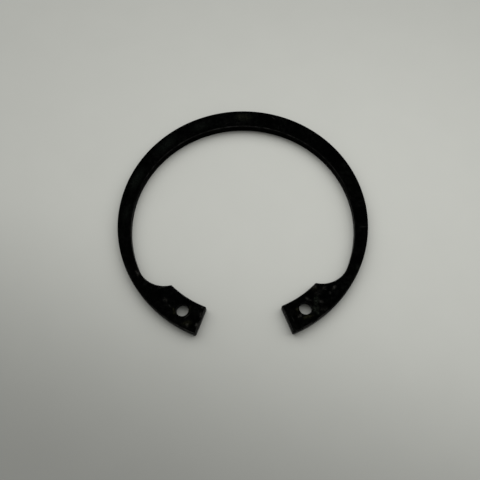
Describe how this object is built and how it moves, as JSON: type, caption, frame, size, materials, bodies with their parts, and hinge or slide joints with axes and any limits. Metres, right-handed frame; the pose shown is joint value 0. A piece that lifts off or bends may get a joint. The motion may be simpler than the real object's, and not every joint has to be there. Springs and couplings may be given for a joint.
{
  "type": "internal retaining ring",
  "caption": "Open spring-steel ring with a plier lug at each end, snapped into a groove in a bore to hold a bearing or shaft in place.",
  "frame": {"origin": "ring axis at mid-thickness", "axes": "+Z along the ring axis, out of the face with the larger rounded edges; -Y from the axis through the middle of the gap; +X to the right lug seen from +Z"},
  "size_m": [0.0692, 0.0667, 0.0024],
  "materials": {
    "black_steel": "black phosphate, lightly oiled, with faint stains and scuffs"
  },
  "bodies": {
    "root": {"retaining_ring": "black_steel"}
  },
  "joints": []
}
